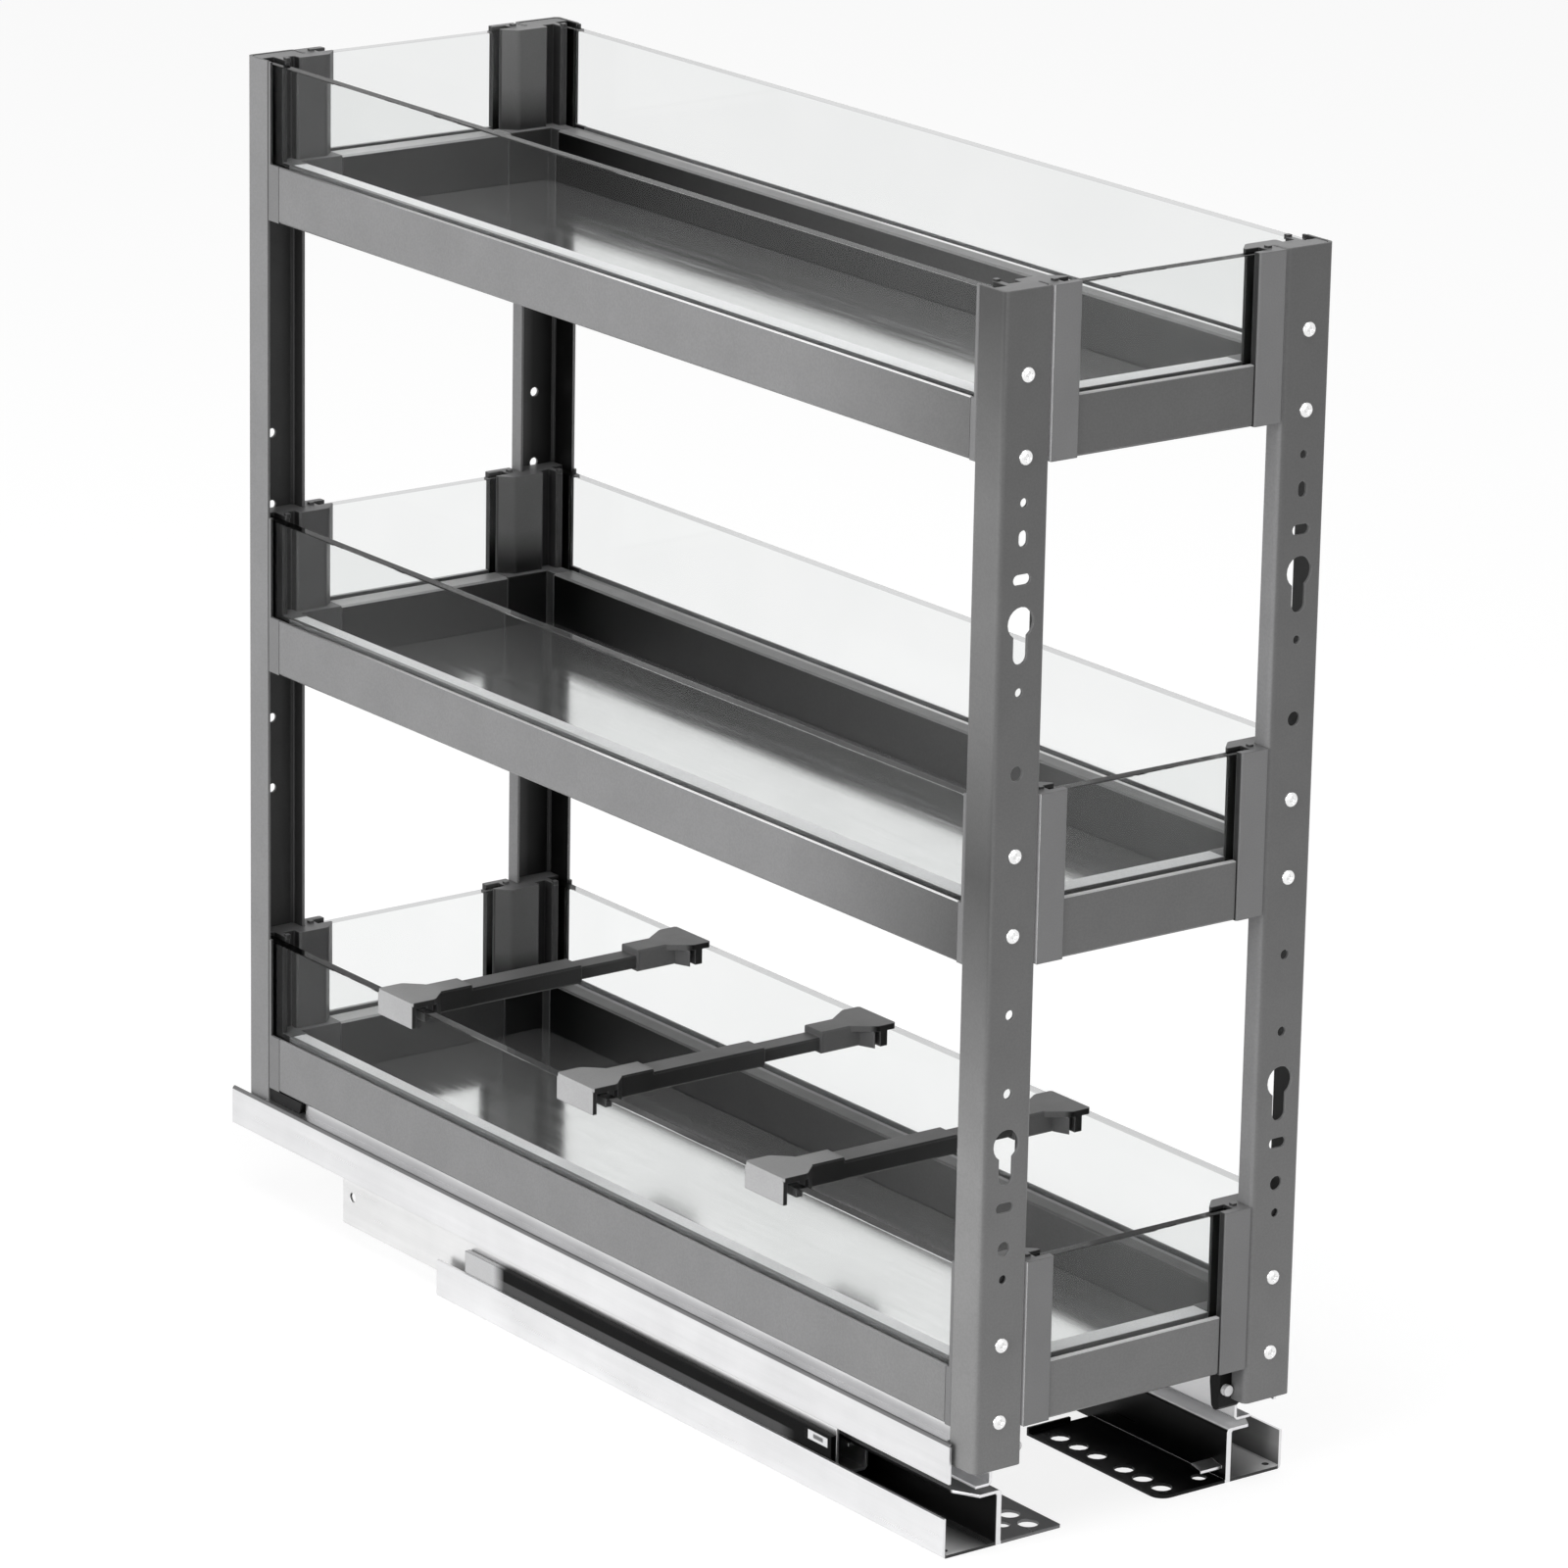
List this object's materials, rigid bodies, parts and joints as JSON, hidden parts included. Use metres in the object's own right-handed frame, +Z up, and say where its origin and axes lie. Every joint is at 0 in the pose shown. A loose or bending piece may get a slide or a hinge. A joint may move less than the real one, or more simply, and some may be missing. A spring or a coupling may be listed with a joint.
{
  "type": "three-tier pull-out organizer",
  "caption": "Narrow base-cabinet pull-out with glass-sided trays stacked on steel uprights, telescopic dividers, and a synchronised full-extension runner pair.",
  "frame": {"origin": "middle of the bounding box in plan, on the cabinet floor under the runners", "axes": "+X across the organizer to its right as seen from the front, +Y to the back of the cabinet, +Z up; it pulls out along -Y"},
  "size_m": [0.173, 0.5322, 0.5123],
  "materials": {
    "upright_steel": "satin grey powder coat",
    "rim_metal": "satin grey powder coat",
    "floor_panel": "smooth dark grey coat",
    "corner_plastic": "fine grain",
    "clear_glass": "clear, polished edges",
    "divider_plastic": "satin",
    "zinc_screws": "bright zinc",
    "runner_steel": "pale zinc",
    "roller_plastic": "natural acetal",
    "housing_plastic": "black moulded",
    "fitting_plastic": "black moulded"
  },
  "bodies": {
    "cabinet_members": {"runner_cabinet_member_left": "runner_steel", "runner_cabinet_member_right": "runner_steel"},
    "middle_members": {"runner_middle_member_left": "runner_steel", "runner_middle_member_right": "runner_steel", "roller_housings": "housing_plastic", "runner_rollers": "roller_plastic"},
    "basket": {"bottom_corner_front_left": "corner_plastic", "bottom_corner_front_right": "corner_plastic", "bottom_corner_rear_left": "corner_plastic", "bottom_corner_rear_right": "corner_plastic", "bottom_floor": "floor_panel", "bottom_glass_front": "clear_glass", "bottom_glass_left": "clear_glass", "bottom_glass_rear": "clear_glass", "bottom_glass_right": "clear_glass", "bottom_rim_front": "rim_metal", "bottom_rim_left": "rim_metal", "bottom_rim_rear": "rim_metal", "bottom_rim_right": "rim_metal", "front_couplings": "fitting_plastic", "middle_corner_front_left": "corner_plastic", "middle_corner_front_right": "corner_plastic", "middle_corner_rear_left": "corner_plastic", "middle_corner_rear_right": "corner_plastic", "middle_floor": "floor_panel", "middle_glass_front": "clear_glass", "middle_glass_left": "clear_glass", "middle_glass_rear": "clear_glass", "middle_glass_right": "clear_glass", "middle_rim_front": "rim_metal", "middle_rim_left": "rim_metal", "middle_rim_rear": "rim_metal", "middle_rim_right": "rim_metal", "post_front_left": "upright_steel", "post_front_right": "upright_steel", "post_rear_left": "upright_steel", "post_rear_right": "upright_steel", "post_screws": "zinc_screws", "rear_brackets": "fitting_plastic", "runner_drawer_member_left": "runner_steel", "runner_drawer_member_right": "runner_steel", "top_corner_front_left": "corner_plastic", "top_corner_front_right": "corner_plastic", "top_corner_rear_left": "corner_plastic", "top_corner_rear_right": "corner_plastic", "top_floor": "floor_panel", "top_glass_front": "clear_glass", "top_glass_left": "clear_glass", "top_glass_rear": "clear_glass", "top_glass_right": "clear_glass", "top_rim_front": "rim_metal", "top_rim_left": "rim_metal", "top_rim_rear": "rim_metal", "top_rim_right": "rim_metal"},
    "divider_1": {"divider_1_rod": "divider_plastic", "divider_1_sleeve": "divider_plastic"},
    "divider_2": {"divider_2_rod": "divider_plastic", "divider_2_sleeve": "divider_plastic"},
    "divider_3": {"divider_3_rod": "divider_plastic", "divider_3_sleeve": "divider_plastic"}
  },
  "joints": [
    {"name": "basket_slide", "type": "slide", "parent": "cabinet_members", "child": "basket", "axis": [0, -1, 0], "range_m": [0, 0.45]},
    {"name": "middle_member_slide", "type": "slide", "parent": "cabinet_members", "child": "middle_members", "axis": [0, -1, 0], "range_m": [0, 0.225]},
    {"name": "divider_1_slide", "type": "slide", "parent": "basket", "child": "divider_1", "axis": [0, 1, 0], "range_m": [-0.05, 0.077]},
    {"name": "divider_2_slide", "type": "slide", "parent": "basket", "child": "divider_2", "axis": [0, 1, 0], "range_m": [-0.05, 0.05]},
    {"name": "divider_3_slide", "type": "slide", "parent": "basket", "child": "divider_3", "axis": [0, 1, 0], "range_m": [-0.105, 0.05]}
  ],
  "couplings": [
    {"joint": "middle_member_slide", "follows": "basket_slide", "ratio": 0.5}
  ]
}
